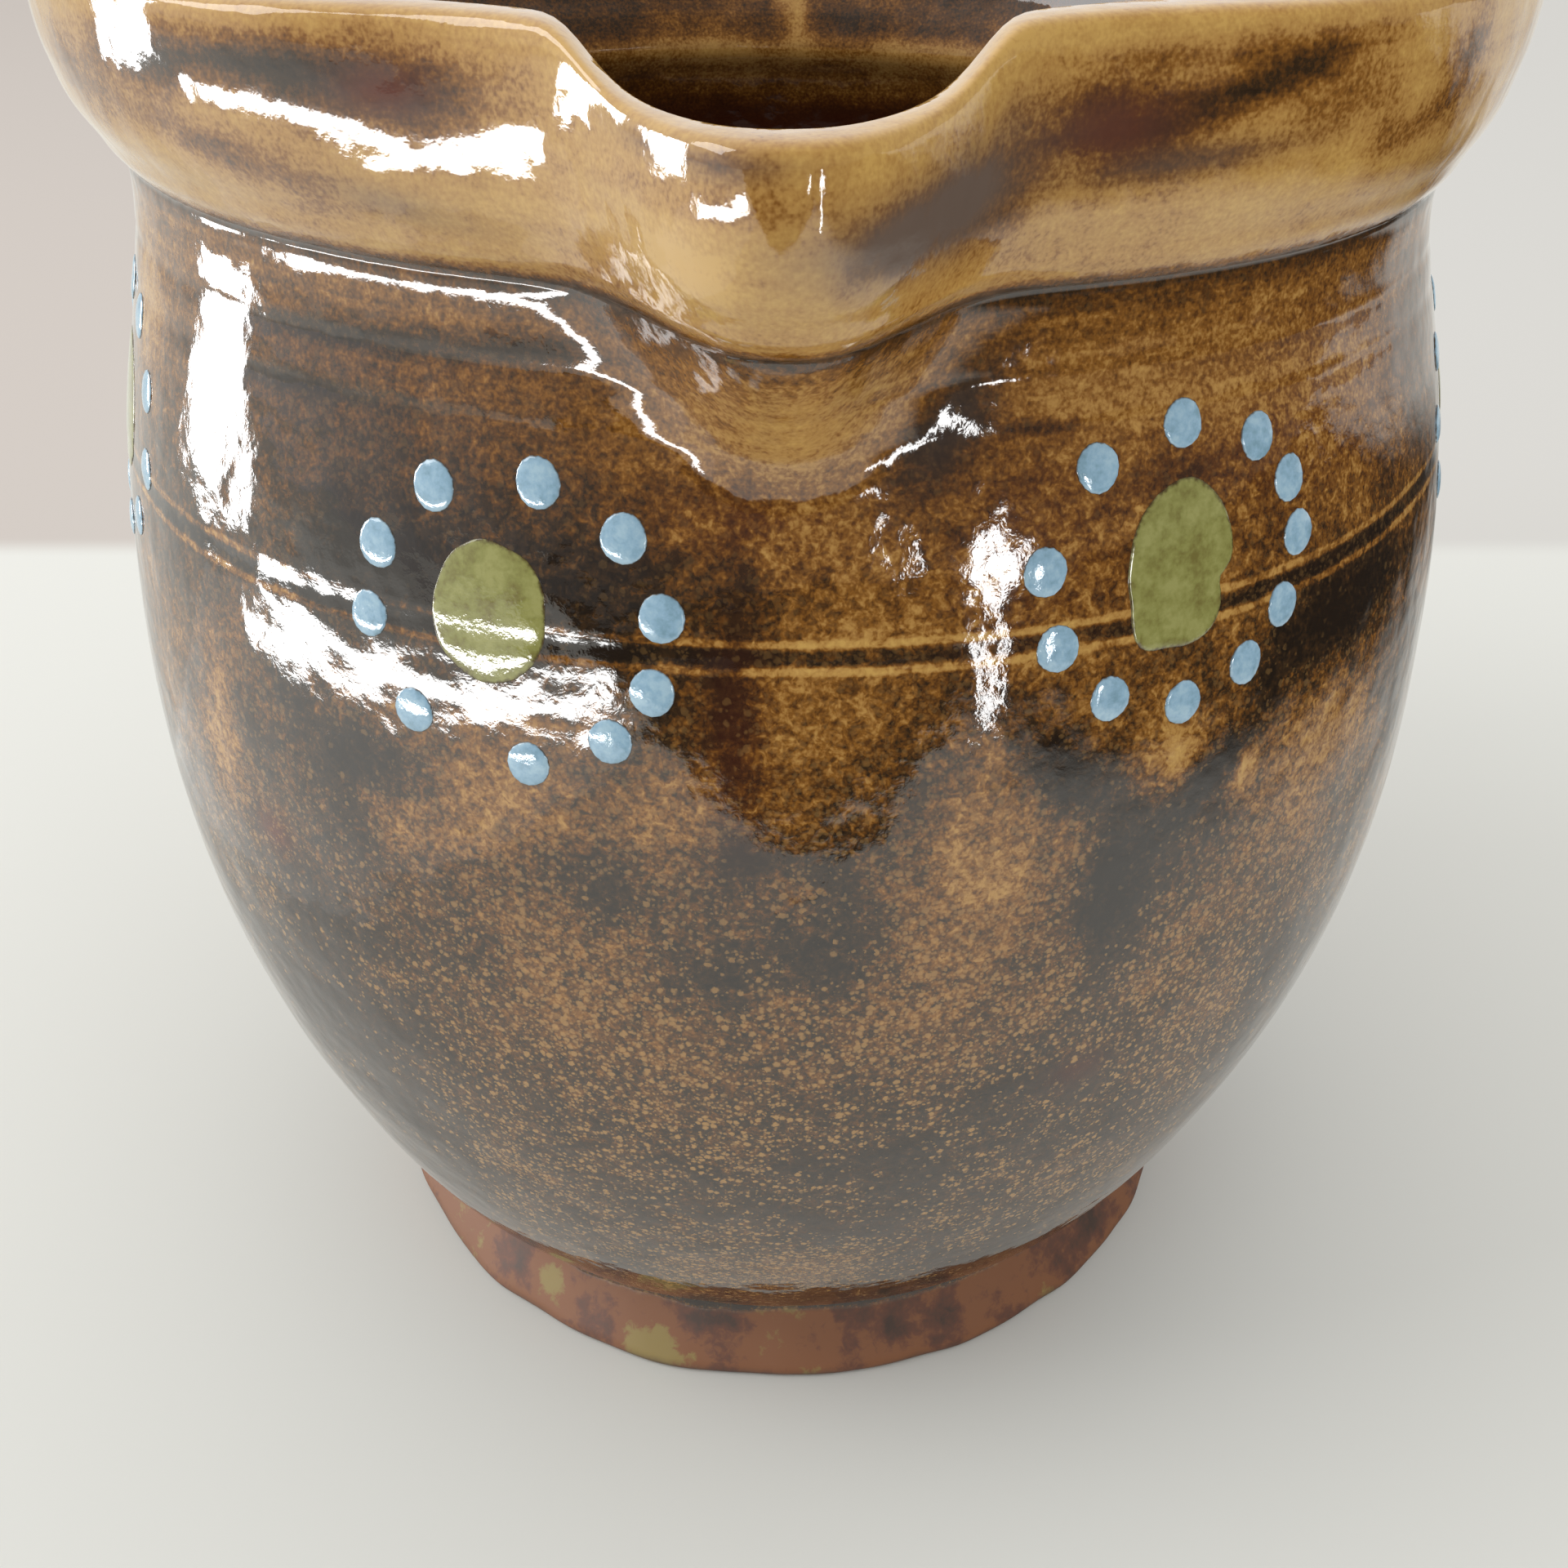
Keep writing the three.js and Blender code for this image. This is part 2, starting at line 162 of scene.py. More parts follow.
# Facets. The pot's are gathered towards the spout, where the fine marks are.
POT_STEPS = 300
FRONT_GATHER = 0.45
FOOT_EDGE_STEPS = 5
FOOT_STEPS = 12
BELLY_STEPS = 48
SHOULDER_STEPS = 90
COLLAR_STEPS = 32
RIM_STEPS = 16
INNER_COLLAR_STEPS = 14
INNER_SHOULDER_STEPS = 24
BOWL_STEPS = 22
HANDLE_STEPS = 44
HANDLE_SIDES = 28
DOT_DETAIL = (16, 12)
SPOT_DETAIL = (56, 20)
MERGE_DISTANCE = 0.001

# A dab ends at this many times its larger half size
DAB_REACH = 3

# Where the dark slip was dabbed on thickly, and where it was rubbed thin (less than 0) to bare ochre. A few
# marked dabs also paint shade and dark reflections:
# direction, climb, half width, half height, lean in degrees and strength
SLIP_AND_PAINTED_SHADE_DABS = [
    # Under the spout
    (-3, 105, 2, 14, 0, 0.22),
    (-1, 116, 9, 2.5, 0, -0.05),
    (-1.6, 90, 4, 1, 0, 0.3),
    # Partly painted reflection of the dark room: the dark grey smudge on the chin right of the spout.
    (10.5, 123.3, 5.5, 2.4, 48, 0.45),
    (0, 125.5, 8.5, 5, 0, -0.3),
    (5, 106, 7, 9, 0, -0.1),
    (-9, 92, 5, 8, 0, -0.08),
    (0, 97, 9, 8, 0, -0.13),
    # Left of the spout
    (-30, 126.5, 22, 1, 3, 0.3),
    (-40, 122, 16, 0.8, 2, 0.25),
    (-25, 110, 12, 7, 0, 0.3),
    (-12, 111, 6, 6, 0, 0.2),
    (-35, 121, 18, 6, 0, 0.14),
    (-60, 122, 6, 6, 0, -0.25),
    (-29, 94.3, 6, 3, 0, 0.35),
    (-45, 90, 3, 8, 0, -0.28),
    (-27.5, 88.7, 2.4, 3, 0, -0.2),
    (-19.5, 92.4, 9, 3.4, 0, -0.12),
    (-13, 86.7, 5.4, 4, 0, 0.3),
    (-15.4, 73, 7, 6, 0, -0.1),
    (-30.6, 70.4, 2.4, 1.2, 20, -0.4),
    (-38, 58, 16, 14, 0, 0.12),
    (-5, 77.8, 4, 5.3, 0, 0.25),
    # Right of the spout
    (20, 124, 6, 4, 0, -0.1),
    (33, 124, 20, 5, 0, -0.1),
    (17, 122.5, 4, 0.5, -4, 0.35),
    (27, 117.5, 6, 1.6, 0, 0.2),
    (24, 114, 9, 6, 0, -0.07),
    (58, 120, 8, 8, 0, 0.2),
    (44, 102, 11, 4, 0, 0.4),
    (18, 96, 6, 3, -46, 0.45),
    (29.5, 91, 6.5, 1.7, 39, 0.42),
    (22.6, 84, 2.4, 6.5, 0, 0.45),
    (27, 95, 2.6, 3, 0, -0.3),
    (33.4, 91, 0.9, 1.9, 0, -0.75),
    (12.3, 88.4, 7, 7, 0, -0.3),
    (12, 73, 9, 7, 0, -0.18),
    (3.2, 79.7, 4.8, 5, 0, 0.25),
    (42.5, 90, 9, 7, 0, -0.3),
    (35, 69, 9, 13, 0, -0.22),
    # Low on the belly
    (0, 30, 10, 6, 0, -0.42),
    # Collar and spout
    # The next two dabs are partly dark slip and partly painted dark reflection, round the highlight on the
    # left of the collar.
    (-23, 144.6, 8, 3, 0, 0.5),
    (-33, 146.2, 9, 1.8, 0, 0.5),
    (-42, 145.4, 7, 2.2, 0, 0.4),
    (-36, 139.5, 13, 1.8, -9, 0.32),
    (18, 143.2, 6.5, 3, 0, 0.45),
    (12.5, 140, 3, 4, 0, 0.2),
    (26, 147.2, 14, 1.2, 0, 0.25),
    (35, 143.8, 10, 2, 5, 0.22),
    (27.5, 145.2, 8, 1.2, 12, 0.5),
    (24, 140.8, 8, 0.9, 4, 0.22),
    # Partly painted reflection of the dark room: the dark grey smudge on the collar right of the spout.
    (7.5, 142, 6.5, 3.4, 0, 0.42),
    (-4, 148.6, 5, 0.8, 0, 0.3),
    (-3, 140, 9, 4.5, 0, -0.16),
    (-3, 146.2, 8, 1.4, 0, 0.12),
    (41, 145, 4, 3, 0, -0.2),
    (42, 141, 5, 2, 0, 0.25),
    (47, 145, 4, 4, 0, 0.35),
    (-52, 143, 8, 4, 0, 0.35),
    # Collar round the sides and back
    (75, 143, 10, 2.4, 6, 0.4),
    (108, 144.5, 13, 1.5, -4, 0.4),
    (150, 142, 9, 2.5, 3, 0.35),
    (-155, 144, 10, 2, 0, 0.4),
    (-115, 142.5, 12, 2.2, 5, 0.4),
    (-80, 144.5, 9, 1.6, -4, 0.4),
    # Foot
    (-33.7, 5.2, 3.2, 1.8, 0, -0.9),
    (-18, 2.6, 5, 2.2, 0, -0.9),
    (-39, 5.5, 5, 3, 0, 0.25),
    (-27.5, 4, 2.5, 3, 0, 0.25),
    (-6, 6.5, 9, 1, 0, 0.3),
    (15, 5.2, 2, 3, 0, 0.25),
    # Painted shade: the right side of the foot, away from the light, darkened.
    (46, 4, 12, 4, 0, 0.5),
    # Inside of the collar
    (179, 165, 1.6, 4, 20, -0.45),
]

# Where the slip turned red in the fire, written in the same way
RUST_DABS = [
    (-1, 117, 9, 3, 0, 0.3),
    (-22.5, 145, 4, 1.6, 0, 0.9),
    (18, 143.2, 5.5, 2.4, 0, 0.8),
    (-40, 81.6, 2.4, 2, 0, 0.9),
    (22.4, 62, 3, 2, 0, 0.5),
    (-3, 100, 3, 9, 0, 0.3),
    (40, 120, 20, 8, 0, 0.35),
    (16, 114, 8, 8, 0, 0.25),
    (180, 182, 70, 7, 0, 0.6),
]

# Where the slip burnt to a grey ash, written in the same way. The marked dabs beside the spout are partly
# painted reflection of the dark room.
ASH_AND_PAINTED_REFLECTION_DABS = [
    # Partly painted reflection of the dark room: the dark grey smudge on the collar right of the spout.
    (7.5, 142, 6.5, 3.6, 0, 1.5),
    (18, 143, 6.5, 3, 0, 0.25),
    (24, 140.8, 8, 1, 4, 0.5),
    (-4, 148.6, 5, 0.9, 0, 0.6),
    # Partly painted reflection of the dark room: the dark grey smudge on the chin right of the spout.
    (10.5, 123.3, 5.5, 2.4, 48, 0.3),
    (-24, 137.5, 6, 1.2, -9, 0.45),
]


def smoothstep(share):
    """Ease from 0 to 1."""
    share = min(max(share, 0), 1)
    return share * share * (3 - 2 * share)


def lerp(first, last, share):
    return first + (last - first) * share


def bell(distance, half_width):
    return math.exp(-(distance / half_width) ** 2)


# Profile of the pot

def stretch(start, start_handle, end_handle, end, steps):
    """Points along one curved stretch of the wall, each given as radius and level."""
    knots = [Vector((radius, 0, level)) for radius, level in (start, start_handle, end_handle, end)]
    return interpolate_bezier(*knots, steps)


def shoulder(inset, steps):
    radius = BELLY_RADIUS - inset
    neck = NECK_RADIUS - inset
    return stretch(
        (radius, BELLY_LEVEL),
        (radius, BELLY_LEVEL + SHOULDER_FULLNESS * SHOULDER_RISE),
        (neck, NECK_LEVEL - NECK_HOLLOW * SHOULDER_RISE),
        (neck, NECK_LEVEL),
        steps,
    )


def collar(inset, steps):
    neck = NECK_RADIUS - inset
    face = COLLAR_RADIUS - inset
    rise = COLLAR_HEIGHT - RIM_ROUND
    return stretch(
        (neck, NECK_LEVEL),
        (neck, NECK_LEVEL + CREASE_HOLLOW * rise),
        (face, NECK_LEVEL + (1 - COLLAR_FULLNESS) * rise),
        (face, RIM_LEVEL - RIM_ROUND),
        steps,
    )


def outside_outline():
    """Foot to the top of the collar, with the marks of the tool."""
    belly_rise = BELLY_LEVEL - FOOT_HEIGHT
    edge = stretch(
        (FOOT_RADIUS - FOOT_EDGE, 0), (FOOT_RADIUS - FOOT_EDGE / 3, 0),
        (FOOT_RADIUS, FOOT_EDGE / 3), (FOOT_RADIUS, FOOT_EDGE), FOOT_EDGE_STEPS,
    )
    foot = stretch(
        (FOOT_RADIUS, FOOT_EDGE), (FOOT_RADIUS - FOOT_HOLLOW, FOOT_HEIGHT / 2),
        (WAIST_RADIUS, FOOT_HEIGHT - 2 * FOOT_EDGE), (WAIST_RADIUS, FOOT_HEIGHT), FOOT_STEPS,
    )
    belly = stretch(
        (WAIST_RADIUS, FOOT_HEIGHT), (WAIST_RADIUS + UNDERCUT, FOOT_HEIGHT),
        (BELLY_RADIUS, BELLY_LEVEL - BELLY_FULLNESS * belly_rise), (BELLY_RADIUS, BELLY_LEVEL), BELLY_STEPS,
    )
    line = edge + foot[1:] + belly[1:] + shoulder(0, SHOULDER_STEPS)[1:] + collar(0, COLLAR_STEPS)[1:]
    for point in line:
        point.x += sum(relief * bell(point.z - level, half) for level, half, relief in TOOL_MARKS)
    return line


def rim_outline():
    """Over the rim, which has a nearly flat top and rounded edges."""
    power = 2 / RIM_SQUARENESS
    line = []
    for i in range(1, RIM_STEPS):
        turn = math.pi * i / RIM_STEPS
        outward = math.copysign(abs(math.cos(turn)) ** power, math.cos(turn))
        rise = math.sin(turn) ** power
        radius = COLLAR_RADIUS - WALL / 2 + WALL / 2 * outward
        line.append(Vector((radius, 0, RIM_LEVEL - RIM_ROUND + RIM_ROUND * rise)))
    return line


def inside_outline():
    """Top of the collar down to the middle of the floor."""
    bowl = stretch(
        (BELLY_RADIUS - WALL, BELLY_LEVEL),
        (BELLY_RADIUS - WALL, BELLY_LEVEL - BELLY_FULLNESS * (BELLY_LEVEL - FOOT_HEIGHT)),
        (BOWL_FLAT_RADIUS + BOWL_ROUND, BASE_THICKNESS),
        (BOWL_FLAT_RADIUS, BASE_THICKNESS),
        BOWL_STEPS,
    )
    line = collar(WALL, INNER_COLLAR_STEPS)[::-1] + shoulder(WALL, INNER_SHOULDER_STEPS)[::-1][1:] + bowl[1:]
    ridge_level, ridge_half, ridge_relief = INNER_RIDGE
    for point in line:
        point.x -= ridge_relief * bell(point.z - ridge_level, ridge_half)
    return line + [Vector((BOWL_FLAT_RADIUS / 2, 0, BASE_THICKNESS)), Vector((0, 0, BASE_THICKNESS))]


OUTSIDE = outside_outline()
OUTSIDE_LEVELS = [point.z for point in OUTSIDE]


def outside_radius(level):
    above = min(max(bisect.bisect(OUTSIDE_LEVELS, level), 1), len(OUTSIDE) - 1)
    lower, upper = OUTSIDE[above - 1], OUTSIDE[above]
    return lerp(lower.x, upper.x, (level - lower.z) / (upper.z - lower.z))


# The potter's hand

def uneven_by(wobble, place):
    depth, wave = wobble
    return depth * noise.noise(place / wave)


def pull_by_hand(place):
    """Move a point of the thrown pot to where the hand left it: wobbles, leaning crease and spout."""
    level = place.z
    direction = math.atan2(place.x, -place.y)
    outward = uneven_by(SLOW_WOBBLE, place) + uneven_by(QUICK_WOBBLE, place)
    outward += uneven_by(FOOT_WOBBLE, place) * smoothstep(1 - level / FOOT_HEIGHT)
    place.x += outward * math.sin(direction)
    place.y -= outward * math.cos(direction)
    place.z -= CREASE_LEAN * math.sin(direction) * bell(level - NECK_LEVEL, CREASE_LEAN_REACH)
    share = min(max((level - SPOUT_ROOT_LEVEL) / SPOUT_RISE, 0), 1)
    half_width = lerp(SPOUT_ROOT_HALF_WIDTH, SPOUT_HALF_WIDTH, share)
    bluntness = lerp(SPOUT_ROOT_BLUNTNESS, SPOUT_BLUNTNESS, share ** 2)
    if place.y < 0:
        aside = abs(place.x)
        crown = math.exp(-(aside / half_width) ** bluntness)
        notch = math.exp(-(aside / LIP_HALF_WIDTH) ** LIP_BLUNTNESS)
        pinch = SPOUT_PINCH * bell(aside - PINCH_ASIDE, PINCH_HALF_WIDTH)
        on_collar = smoothstep((level - NECK_LEVEL) / COLLAR_HEIGHT)
        place.y += pinch * on_collar - SPOUT_PULL * smoothstep(share) * crown
        place.z -= LIP_DIP * on_collar * notch


def dabbed(dabs, direction, climb):
    """Strength of all the dabs at one place on the wall."""
    total = 0
    for middle, dab_climb, half_width, half_height, lean, strength in dabs:
        reach = DAB_REACH * max(half_width, half_height)
        turn = math.radians((direction - middle + 180) % 360 - 180)
        up = climb - dab_climb
        across = turn * BELLY_RADIUS
        if abs(up) < reach and abs(across) < reach:
            cosine = math.cos(math.radians(lean))
            sine = math.sin(math.radians(lean))
            along = across * cosine + up * sine
            off = up * cosine - across * sine
            total += strength * bell(along, half_width) * bell(off, half_height)
    return total


# Pieces

def finish_piece(name, mesh_in_mm, material, nodes):
    """Turn a bmesh in millimetres into an object of the part that stands for the given CAD nodes."""
    bmesh.ops.scale(mesh_in_mm, vec=(MM, MM, MM), verts=mesh_in_mm.verts)
    mesh = bpy.data.meshes.new(name)
    mesh_in_mm.to_mesh(mesh)
    mesh_in_mm.free()
    mesh.shade_smooth()
    mesh.materials.append(material)
    piece = bpy.data.objects.new(name, mesh)
    bpy.context.scene.collection.objects.link(piece)
    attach(piece, "root")
    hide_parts(*nodes)
    return piece


def make_pot(material):
    pot = bmesh.new()
    for name in ("climb", "slip", "rust", "ash"):
        pot.verts.layers.float.new(name)
    climbs, slips, rusts, ashes = pot.verts.layers.float.values()
    base = [Vector((0, 0, 0)), Vector((FOOT_RADIUS / 2, 0, 0))]
    outline = base + OUTSIDE + rim_outline() + inside_outline()
    corners = [pot.verts.new(point) for point in outline]
    edges = [pot.edges.new(pair) for pair in zip(corners, corners[1:])]
    inside_start = len(base) + len(OUTSIDE) + len(rim_outline()) // 2
    for i, corner in enumerate(corners):
        corner[climbs] = corner.co.z if i < inside_start else 2 * RIM_LEVEL - corner.co.z
    bmesh.ops.spin(
        pot, geom=corners + edges, cent=(0, 0, 0), axis=(0, 0, 1),
        angle=2 * math.pi, steps=POT_STEPS, use_merge=True,
    )
    bmesh.ops.remove_doubles(pot, verts=pot.verts, dist=MERGE_DISTANCE)
    bmesh.ops.recalc_face_normals(pot, faces=pot.faces)
    for corner in pot.verts:
        radius = math.hypot(corner.co.x, corner.co.y)
        turn = math.atan2(corner.co.x, -corner.co.y)
        turn -= FRONT_GATHER * math.sin(turn)
        direction = math.degrees(turn)
        corner[slips] = dabbed(SLIP_AND_PAINTED_SHADE_DABS, direction, corner[climbs])
        corner[rusts] = dabbed(RUST_DABS, direction, corner[climbs])
        corner[ashes] = dabbed(ASH_AND_PAINTED_REFLECTION_DABS, direction, corner[climbs])
        corner.co.x = radius * math.sin(turn)
        corner.co.y = -radius * math.cos(turn)
        pull_by_hand(corner.co)
    return finish_piece("glazed_pot", pot, material, ["vessel"])


def handle_line():
    """Middle line of the strap, from inside the collar over to inside the belly."""
    top = Vector((0, COLLAR_RADIUS - WALL / 2, RIM_LEVEL - HANDLE_TOP_DROP))
    foot = Vector((0, BELLY_RADIUS - WALL / 2, BELLY_LEVEL + HANDLE_FOOT_RISE))
    middle_reach = BELLY_RADIUS + FINGER_ROOM + HANDLE_THICKNESS / 2
    # The middle of the curve is an eighth of each end and three eighths of each handle
    bow = (8 * middle_reach - top.y - foot.y) / 6
    top_handle = Vector((0, bow, top.z + HANDLE_LIFT))
    foot_handle = Vector((0, bow, foot.z + HANDLE_DROOP))
    return interpolate_bezier(top, top_handle, foot_handle, foot, HANDLE_STEPS + 1)


def make_handle(material):
    strap = bmesh.new()
    for name in ("climb", "slip"):
        strap.verts.layers.float.new(name)
    climbs, slips = strap.verts.layers.float.values()
    line = handle_line()
    depth, wave = STRAP_WOBBLE
    rings = []
    for i, middle in enumerate(line):
        share = i / HANDLE_STEPS
        along = (line[min(i + 1, HANDLE_STEPS)] - line[max(i - 1, 0)]).normalized()
        outward = Vector((1, 0, 0)).cross(along)
        flare = math.exp(-share / FLARE_REACH) + math.exp((share - 1) / FLARE_REACH)
        half_width = (lerp(HANDLE_TOP_WIDTH, HANDLE_FOOT_WIDTH, share) + HANDLE_FLARE * flare) / 2
        half_thickness = (HANDLE_THICKNESS + HANDLE_SWELL * flare) / 2
        at_end = i in (0, HANDLE_STEPS)
        ring = bmesh.ops.create_circle(strap, cap_ends=at_end, segments=HANDLE_SIDES, radius=1)["verts"]
        for corner in ring:
            side, rise = corner.co.x, corner.co.y
            groove = GROOVE_DEPTH * max(rise, 0) ** GROOVE_SHARPNESS
            uneven = depth * noise.noise(middle / wave + Vector((side, rise, 0)))
            corner.co = middle + outward * (half_thickness * rise - groove + uneven)
            corner.co.x += half_width * side
            corner[climbs] = lerp(HANDLE_TOP_CLIMB, HANDLE_FOOT_CLIMB, share)
            corner[slips] = HANDLE_WEAR * abs(side) ** WEAR_SHARPNESS
        rings.append(list({edge for corner in ring for edge in corner.link_edges}))
    for upper, lower in zip(rings, rings[1:]):
        bmesh.ops.bridge_loops(strap, edges=upper + lower)
    bmesh.ops.recalc_face_normals(strap, faces=strap.faces)
    piece = finish_piece("strap_handle", strap, material, ["handle"])
    smooth = piece.modifiers.new("Subdivision", "SUBSURF")
    smooth.levels = smooth.render_levels = 1
    return piece


def wall_place(node):
    """Direction in radians and level of a CAD dot on the wall."""
    low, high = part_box(node)
    middle = (low + high) / 2 / MM
    return math.atan2(middle.x, -middle.y), middle.z


def lay_bead(beads, direction, level, half_width, half_height, relief, outline, detail):
    """Add one bead of slip, wrapped on the wall. Its outline is a factor for each turn round it."""
    reaches = beads.verts.layers.float["reach"]
    sides, rows = detail
    ball = bmesh.ops.create_uvsphere(beads, u_segments=sides, v_segments=rows, radius=1)["verts"]
    for corner in ball:
        corner[reaches] = math.hypot(corner.co.x, corner.co.y)
        swell = outline(math.degrees(math.atan2(corner.co.y, corner.co.x)))
        across = corner.co.x * half_width * swell
        up = corner.co.y * half_height * swell
        height = corner.co.z * relief
        radius = outside_radius(level + up) + height
        turn = direction + across / outside_radius(level)
        corner.co = Vector((radius * math.sin(turn), -radius * math.cos(turn), level + up))
        pull_by_hand(corner.co)


def new_beads():
    beads = bmesh.new()
    beads.verts.layers.float.new("reach")
    return beads


def dot_outline(seed):
    """A dot is a slightly uneven oval."""
    def swell(turn):
        around = math.radians(turn)
        return 1 + DOT_UNEVENNESS * noise.noise(Vector((math.cos(around), math.sin(around), seed)))
    return swell


# Lobes of the dabbed green spots: turn round the spot, half width in degrees and share of its size
SPOT_LOBES = {
    1: [(70, 30, 0.06), (232, 20, 0.16), (-22, 12, -0.2), (-60, 25, 0.1), (160, 40, -0.05)],
    2: [(85, 75, -0.28), (205, 25, 0.05), (0, 40, -0.05)],
}


def spot_outline(number):
    """A green spot is an uneven oval with lobes. Where none are listed, they follow from its number."""
    seed = SPOT_SEED_STEP * number
    lobes = SPOT_LOBES.get(number, [(40 * number, 30, 0.1), (40 * number + 150, 25, -0.1)])

    def swell(turn):
        around = math.radians(turn)
        total = 1 + SPOT_UNEVENNESS * noise.noise(Vector((2 * math.cos(around), 2 * math.sin(around), seed)))
        for middle, half_width, share in lobes:
            total += share * bell((turn - middle + 180) % 360 - 180, half_width)
        return total
    return swell


def ring_places(spot, count):
    """Places of an even ring of dots round a spot."""
    middle, level = wall_place(spot)
    clocks = [2 * math.pi * i / count for i in range(count)]
    return [
        (
            middle + RING_HALF_WIDTH * math.cos(clock) / outside_radius(level),
            level + RING_HALF_HEIGHT * math.sin(clock),
        )
        for clock in clocks
    ]


def make_dots(number, material):
    beads = new_beads()
    nodes = sorted(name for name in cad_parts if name.startswith(f"blue_dot_{number}_"))
    places = [wall_place(node) for node in nodes]
    if not places:
        places = ring_places(f"green_spot_{number}", RING_DOTS)
    for i, (direction, level) in enumerate(places):
        outline = dot_outline(DOT_SEED_STEP * (ROSETTE_SEED_STEP * number + i))
        lay_bead(beads, direction, level, DOT_HALF_WIDTH, DOT_HALF_HEIGHT, DOT_RELIEF, outline, DOT_DETAIL)
    return finish_piece(f"blue_dots_{number}", beads, material, nodes)


def make_spot(number, material):
    beads = new_beads()
    direction, level = wall_place(f"green_spot_{number}")
    outline = spot_outline(number)
    lay_bead(beads, direction, level, SPOT_HALF_WIDTH, SPOT_HALF_HEIGHT, SPOT_RELIEF, outline, SPOT_DETAIL)
    return finish_piece(f"green_slip_{number}", beads, material, [f"green_spot_{number}"])


# Finishes

def seen(red, green, blue):
    """A colour as the eye sees it, 0 to 255, made linear for a shader."""
    def linear(part):
        part /= 255
        return part / 12.92 if part <= 0.04045 else ((part + 0.055) / 1.055) ** 2.4
    return linear(red), linear(green), linear(blue), 1


class Finish:
    """One node tree, with a method for each kind of step. Most of them give back an output socket."""

    def __init__(self, tree):
        self.tree = tree
        tree.nodes.clear()

    def node(self, kind, settings=None, **inputs):
        node = self.tree.nodes.new("ShaderNode" + kind)
        for name, value in (settings or {}).items():
            setattr(node, name, value)
        for name, value in inputs.items():
            self.feed(node.inputs[name.replace("_", " ")], value)
        return node

    def feed(self, socket, value):
        if isinstance(value, bpy.types.NodeSocket):
            self.tree.links.new(value, socket)
        else:
            socket.default_value = value

    def place_in_mm(self, scale=(1, 1, 1)):
        """Object coordinates in millimetres, each way times its scale."""
        coordinates = self.node("TexCoord").outputs["Object"]
        return self.node("Mapping", Vector=coordinates, Scale=[part / MM for part in scale]).outputs["Vector"]

    def attribute(self, name):
        return self.node("Attribute", {"attribute_name": name}).outputs["Fac"]

    def math(self, operation, first, second=0.0):
        node = self.node("Math", {"operation": operation})
        self.feed(node.inputs[0], first)
        self.feed(node.inputs[1], second)
        return node.outputs[0]

    def add(self, *parts):
        total = parts[0]
        for part in parts[1:]:
            total = self.math("ADD", total, part)
        return total

    def times(self, first, second):
        return self.math("MULTIPLY", first, second)

    def grain(self, vector, size, detail=2.0, roughness=0.5, distortion=0.0):
        """Noise about 0, its features about that many millimetres across."""
        node = self.node(
            "TexNoise", Vector=vector, Scale=1 / size,
            Detail=detail, Roughness=roughness, Distortion=distortion,
        )
        return self.math("SUBTRACT", node.outputs["Fac"], 0.5)

    def grains(self, vector, size, share):
        """Round grains of slip, about that many millimetres apart, at a share of the places for one."""
        cells = self.node("TexVoronoi", Vector=vector, Scale=1 / size)
        chance = self.node("SeparateColor", Color=cells.outputs["Color"]).outputs
        edge = self.between(chance["Green"], 0, 1, *GRAIN_REACH)
        past_edge = self.math("SUBTRACT", cells.outputs["Distance"], edge)
        inside = self.between(past_edge, *GRAIN_EDGE, 1.0, 0.0)
        past_share = self.math("SUBTRACT", chance["Red"], share)
        present = self.short_of(past_share, 0, GRAIN_CHANCE_BLUR)
        return self.times(inside, present)

    def between(self, value, low, high, low_result=0.0, high_result=1.0):
        """Smooth change from one result to the other as the value goes from low to high."""
        node = self.node(
            "MapRange", {"interpolation_type": "SMOOTHSTEP"},
            Value=value, From_Min=low, From_Max=high, To_Min=low_result, To_Max=high_result,
        )
        return node.outputs["Result"]

    def past(self, value, limit, blur):
        """1 where a value is past a soft limit, and 0 short of it."""
        return self.between(value, limit - blur, limit + blur)

    def short_of(self, value, limit, blur):
        """1 where a value is short of a soft limit, and 0 past it."""
        return self.between(value, limit - blur, limit + blur, 1.0, 0.0)

    def ramp(self, value, stops):
        """Colour along a value from 0 to 1."""
        node = self.node("ValToRGB", Fac=value)
        elements = node.color_ramp.elements
        while len(elements) < len(stops):
            elements.new(0.5)
        for element, (position, colour) in zip(elements, stops):
            element.position = position
            element.color = colour
        return node.outputs["Color"]

    def by_climb(self, climb, stops):
        """A number that changes along the climb, through (climb, number) stops."""
        end = stops[-1][0]
        greys = [(position / end, (number, number, number, 1)) for position, number in stops]
        return self.ramp(self.math("DIVIDE", climb, end), greys)

    def blend(self, share, first, second):
        node = self.node("Mix", {"data_type": "RGBA"})
        sockets = {socket.identifier: socket for socket in node.inputs}
        self.feed(sockets["Factor_Float"], share)
        self.feed(sockets["A_Color"], first)
        self.feed(sockets["B_Color"], second)
        return next(socket for socket in node.outputs if socket.identifier == "Result_Color")

    def relief(self, height):
        """Surface normal from a height in millimetres."""
        return self.node("Bump", Strength=1.0, Distance=MM, Height=height).outputs["Normal"]

    def surface(self, shader):
        self.tree.links.new(shader, self.node("OutputMaterial").inputs["Surface"])


def new_finish(name):
    material = bpy.data.materials.new(name)
    material.use_nodes = True
    return material, Finish(material.node_tree)


